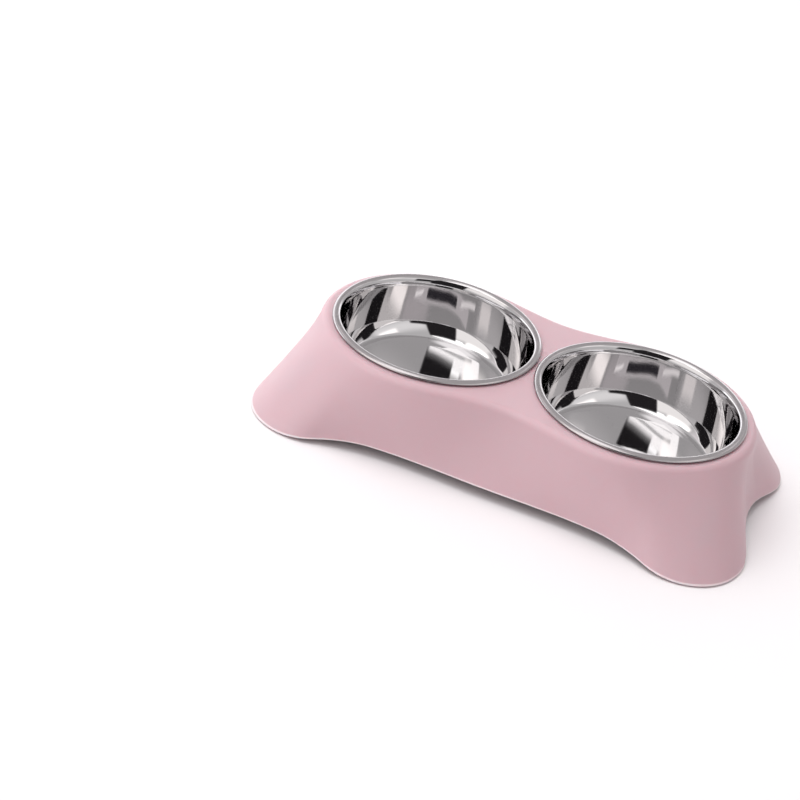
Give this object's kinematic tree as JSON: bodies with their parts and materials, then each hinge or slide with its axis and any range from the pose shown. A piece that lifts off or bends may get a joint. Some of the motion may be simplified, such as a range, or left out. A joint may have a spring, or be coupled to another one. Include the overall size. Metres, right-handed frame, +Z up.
{
  "type": "double pet bowl",
  "caption": "Flared plastic stand on corner legs that holds a row of lift-out steel bowls for a pet's food and water.",
  "frame": {"origin": "on the floor, under the middle of the stand", "axes": "+X along the row of bowls, -Y to the front, +Z up out of the bowls"},
  "size_m": [0.3118, 0.1784, 0.056],
  "materials": {
    "stand_plastic": "satin moulded plastic, pale pink",
    "bowl_steel": "mirror-polished drawn stainless steel",
    "pad_rubber": "soft matte grey rubber"
  },
  "bodies": {
    "stand": {"stand": "stand_plastic", "foot_front_left": "pad_rubber", "foot_front_right": "pad_rubber", "foot_rear_left": "pad_rubber", "foot_rear_right": "pad_rubber"},
    "bowl_left": {"bowl_left": "bowl_steel"},
    "bowl_right": {"bowl_right": "bowl_steel"}
  },
  "joints": [
    {"name": "bowl_left_lift", "type": "slide", "parent": "stand", "child": "bowl_left", "axis": [0, 0, 1], "range_m": [0, 0.06]},
    {"name": "bowl_right_lift", "type": "slide", "parent": "stand", "child": "bowl_right", "axis": [0, 0, 1], "range_m": [0, 0.06]}
  ]
}
